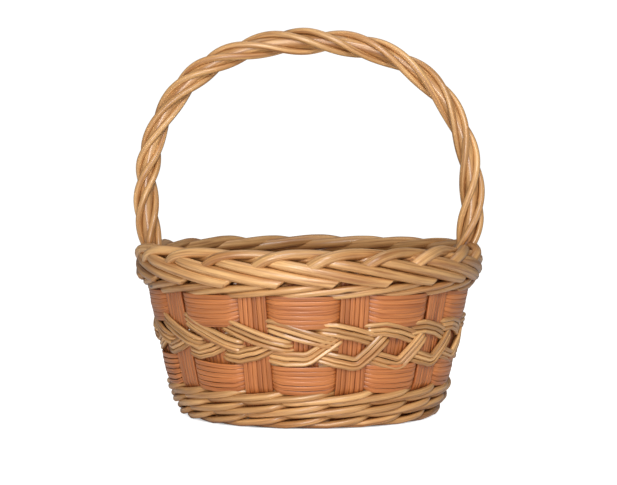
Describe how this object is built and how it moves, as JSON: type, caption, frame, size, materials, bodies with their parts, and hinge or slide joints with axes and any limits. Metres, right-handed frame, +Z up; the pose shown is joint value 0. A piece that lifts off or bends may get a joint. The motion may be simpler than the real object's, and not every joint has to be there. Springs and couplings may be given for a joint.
{
  "type": "market basket",
  "caption": "Round woven willow market basket with flat stakes, a braided band round the middle, a plaited border and a fixed twisted hoop handle.",
  "frame": {"origin": "centre of the basket's round base, on the plane it stands on", "axes": "+Z up through the middle of the basket, X across the basket in the plane of the hoop handle, -Y the front"},
  "size_m": [0.2932, 0.2896, 0.3208],
  "materials": {
    "willow_rod": "buffed willow under a satin varnish",
    "split_willow": "split and shaved willow, satin varnish",
    "base_stick": "stout willow stick, satin varnish"
  },
  "bodies": {
    "root": {"stake_01": "split_willow", "stake_02": "split_willow", "stake_03": "split_willow", "stake_04": "split_willow", "stake_05": "split_willow", "stake_06": "split_willow", "stake_07": "split_willow", "stake_08": "split_willow", "stake_09": "split_willow", "stake_10": "split_willow", "stake_11": "split_willow", "stake_12": "split_willow", "stake_13": "split_willow", "stake_14": "split_willow", "stake_15": "split_willow", "stake_16": "split_willow", "stake_17": "split_willow", "stake_18": "split_willow", "stake_19": "split_willow", "stake_20": "split_willow", "foot_wale_rod_a": "willow_rod", "foot_wale_rod_b": "willow_rod", "foot_wale_rod_c": "willow_rod", "top_wale_rod_a": "willow_rod", "top_wale_rod_b": "willow_rod", "top_wale_rod_c": "willow_rod", "lower_skein_1": "split_willow", "lower_skein_2": "split_willow", "lower_skein_3": "split_willow", "lower_skein_4": "split_willow", "lower_skein_5": "split_willow", "lower_skein_6": "split_willow", "upper_skein_1": "split_willow", "upper_skein_2": "split_willow", "upper_skein_3": "split_willow", "upper_skein_4": "split_willow", "upper_skein_5": "split_willow", "upper_skein_6": "split_willow", "upper_skein_7": "split_willow", "lower_pairing_weaver_a": "willow_rod", "lower_pairing_weaver_b": "willow_rod", "upper_pairing_weaver_a": "willow_rod", "upper_pairing_weaver_b": "willow_rod", "handle_bow": "willow_rod", "handle_wrap_1": "willow_rod", "handle_wrap_2": "willow_rod", "handle_wrap_3": "willow_rod", "handle_wrap_4": "willow_rod", "rim_border": "willow_rod", "base_stick_pierced_1": "base_stick", "base_stick_through_1": "base_stick", "base_stick_pierced_2": "base_stick", "base_stick_through_2": "base_stick", "base_stick_pierced_3": "base_stick", "base_stick_through_3": "base_stick", "base_stick_pierced_4": "base_stick", "base_stick_through_4": "base_stick", "base_weave": "willow_rod"}
  },
  "joints": []
}
